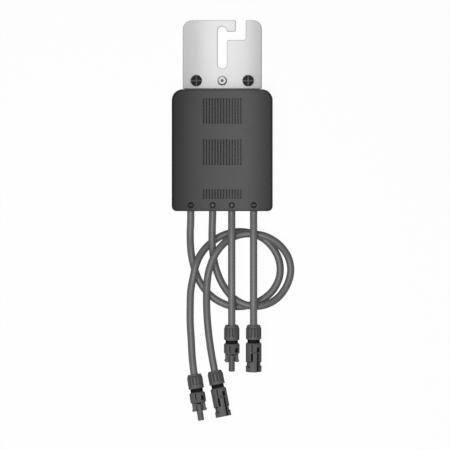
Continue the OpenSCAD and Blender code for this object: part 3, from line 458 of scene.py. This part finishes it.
cable_jacket = surfaced("cable_jacket", moulded_grain, {"Colour": tone("545454"), "Grain": 1500.0,
                                                        "Smooth": 0.43, "Rough": 0.51}, relief=0.03,
                        Specular_IOR_Level=0.48)
lead_origin = Vector((0, lead_end_y, 0))
cords = []
for lead, way in lead_ways.items():
    turn, dip = math.radians(connector_turn[lead]), math.radians(connector_dip[lead])
    along = Vector((math.sin(turn) * math.cos(dip), -math.cos(turn) * math.cos(dip), -math.sin(dip)))
    out = Vector((lead_x[lead], lead_out, lead_exit_z))
    end = Vector(connector_ends[lead]) - lead_origin
    stops = [out] + [Vector(p) for p in way] + [end]
    tangents = [(stops[i + 1] - stops[i - 1]) / 2 for i in range(1, len(stops) - 1)]
    tangents.insert(0, Vector((0, -1, 0)) * (stops[1] - stops[0]).length)
    tangents.append(along * (stops[-1] - stops[-2]).length)
    inside = Vector((lead_x[lead], lead_inside, lead_exit_z))
    contact = end + contact_reach[lead] * along
    path = [(inside, inside, inside.lerp(out, 1 / 3))]
    for i, (stop, tangent) in enumerate(zip(stops, tangents)):
        before = inside.lerp(out, 2 / 3) if i == 0 else stop - tangent / 3
        after = stop.lerp(contact, 1 / 3) if i == len(stops) - 1 else stop + tangent / 3
        path.append((before, stop, after))
    path.append((end.lerp(contact, 2 / 3), contact, contact))

    curve = bpy.data.curves.new(lead + "_lead", "CURVE")
    curve.dimensions = "3D"
    curve.bevel_depth = cable_d / 2 * MM
    curve.bevel_resolution = 8
    curve.resolution_u = 8
    curve.use_fill_caps = True
    spline = curve.splines.new("BEZIER")
    spline.bezier_points.add(len(path) - 1)
    for point, (before, stop, after) in zip(spline.bezier_points, path):
        point.handle_left_type = point.handle_right_type = "FREE"
        point.handle_left = (before + lead_origin) * MM
        point.co = (stop + lead_origin) * MM
        point.handle_right = (after + lead_origin) * MM
    cord = bpy.data.objects.new(lead + "_lead", curve)
    bpy.context.scene.collection.objects.link(cord)
    cord.data.materials.append(cable_jacket)
    cords.append(cord)
    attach(cord, "root")
    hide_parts(lead + "_cable")


# Studio.
# The part lies on its back on a white floor under a pale sky, and the camera looks straight down. Soft lamps
# hang close over the cover and the plate, one reaches the plate from the upper left, and two light the leads.
floor_reach = 3.0
floor_mesh = bpy.data.meshes.new("floor")
shape = bmesh.new()
bmesh.ops.create_grid(shape, x_segments=1, y_segments=1, size=floor_reach)
shape.to_mesh(floor_mesh)
shape.free()
floor = bpy.data.objects.new("floor", floor_mesh)
bpy.context.scene.collection.objects.link(floor)


def seen_rays(tree):
    """1 for rays from the camera and for those that reach a piece by reflection or through glass, else 0."""
    rays = tree.nodes.new("ShaderNodeLightPath")
    total = rays.outputs["Is Camera Ray"]
    for kind in ("Is Glossy Ray", "Is Transmission Ray"):
        added = tree.nodes.new("ShaderNodeMath")
        added.operation = "MAXIMUM"
        tree.links.new(total, added.inputs[0])
        tree.links.new(rays.outputs[kind], added.inputs[1])
        total = added.outputs[0]
    return total


floor_glow = 0.96
floor_white = 0.8
floor_bounce = 0.12
white_floor = bpy.data.materials.new("white_floor")
white_floor.use_nodes = True
tree = white_floor.node_tree
lit = tree.nodes["Principled BSDF"]
lit.inputs["Roughness"].default_value = 0.9
lit.inputs["Specular IOR Level"].default_value = 0.0
glow = tree.nodes.new("ShaderNodeEmission")
glow.inputs["Color"].default_value = (1, 1, 1, 1)
shown = tree.nodes.new("ShaderNodeMath")
shown.operation = "MULTIPLY"
shown.inputs[1].default_value = floor_glow
seen = seen_rays(tree)
tree.links.new(seen, shown.inputs[0])
tree.links.new(spread(tree, seen, floor_bounce, floor_white), lit.inputs["Base Color"])
mixed = tree.nodes.new("ShaderNodeMixShader")
tree.links.new(shown.outputs[0], mixed.inputs["Fac"])
tree.links.new(lit.outputs[0], mixed.inputs[1])
tree.links.new(glow.outputs[0], mixed.inputs[2])
tree.links.new(mixed.outputs[0], tree.nodes["Material Output"].inputs["Surface"])
floor_mesh.materials.append(white_floor)

horizon_light = 0.01
overhead_light = 0.4
sky_fall = 8.0
world = bpy.data.worlds.new("studio")
bpy.context.scene.world = world
world.use_nodes = True
tree = world.node_tree
way = tree.nodes.new("ShaderNodeSeparateXYZ")
tree.links.new(tree.nodes.new("ShaderNodeTexCoord").outputs["Generated"], way.inputs[0])
steep = tree.nodes.new("ShaderNodeMath")
steep.operation = "POWER"
steep.use_clamp = True
steep.inputs[1].default_value = sky_fall
above = tree.nodes.new("ShaderNodeMath")
above.operation = "MAXIMUM"
above.inputs[1].default_value = 0.0
tree.links.new(way.outputs["Z"], above.inputs[0])
tree.links.new(above.outputs[0], steep.inputs[0])
dome = spread(tree, steep.outputs[0], horizon_light, overhead_light)
tree.links.new(spread(tree, seen_rays(tree), dome, 1.0), tree.nodes["Background"].inputs["Strength"])
tree.nodes["Background"].inputs["Color"].default_value = (1, 1, 1, 1)


def lamp(name, pieces, at, target, size, power):
    """A rectangular area light kept to the given pieces, as flags do in a studio, and not itself seen."""
    light = bpy.data.lights.new(name, "AREA")
    light.shape = "RECTANGLE"
    light.size, light.size_y = size
    light.energy = power
    stand = bpy.data.objects.new(name, light)
    stand.location = at
    stand.rotation_euler = (Vector(target) - Vector(at)).to_track_quat("-Z", "Y").to_euler()
    stand.visible_camera = False
    bpy.context.scene.collection.objects.link(stand)
    lit_pieces = bpy.data.collections.new(name + "_on")
    for piece in pieces:
        lit_pieces.objects.link(piece)
    stand.light_linking.receiver_collection = lit_pieces
    return light


plate_pieces = [plate, rivet, screws]
lead_pieces = [floor, *cords] + [piece for pieces in connectors.values() for piece in pieces]
short_leads = cords[2:]
lamp("front_wide", [cover], at=(0.001, 0, 0.048), target=(0.001, 0, 0), size=(0.078, 0.2), power=0.049)
lamp("front_strip", [cover], at=(0.024, 0, 0.06), target=(0.024, 0, 0), size=(0.012, 0.2), power=0.012)
lamp("plate_wide", plate_pieces, at=(0.004, 0.09, 0.034), target=(0.004, 0.09, 0), size=(0.05, 0.16),
     power=0.0165)
plate_key = lamp("plate_key", plate_pieces, at=(-0.5, 0.6, 0.24), target=(0, 0.1, 0.006), size=(0.1, 0.1),
                 power=6.6)
plate_key.use_shadow = False
lamp("lead_light", lead_pieces, at=(-0.12, -0.22, 0.8), target=(0, -0.2, 0), size=(0.5, 0.5), power=6.8)
lamp("short_lead_light", short_leads, at=(-0.1, 0.4, 0.75), target=(0.02, -0.08, 0), size=(0.4, 0.36),
     power=2.0)

view_width = 0.45
view_from = (0.0028, -0.0748, 1.2)
camera = bpy.data.cameras.new("camera")
camera.type = "ORTHO"
camera.ortho_scale = view_width
view = bpy.data.objects.new("camera", camera)
view.location = view_from
bpy.context.scene.collection.objects.link(view)
bpy.context.scene.camera = view
bpy.context.scene.view_settings.view_transform = "Standard"
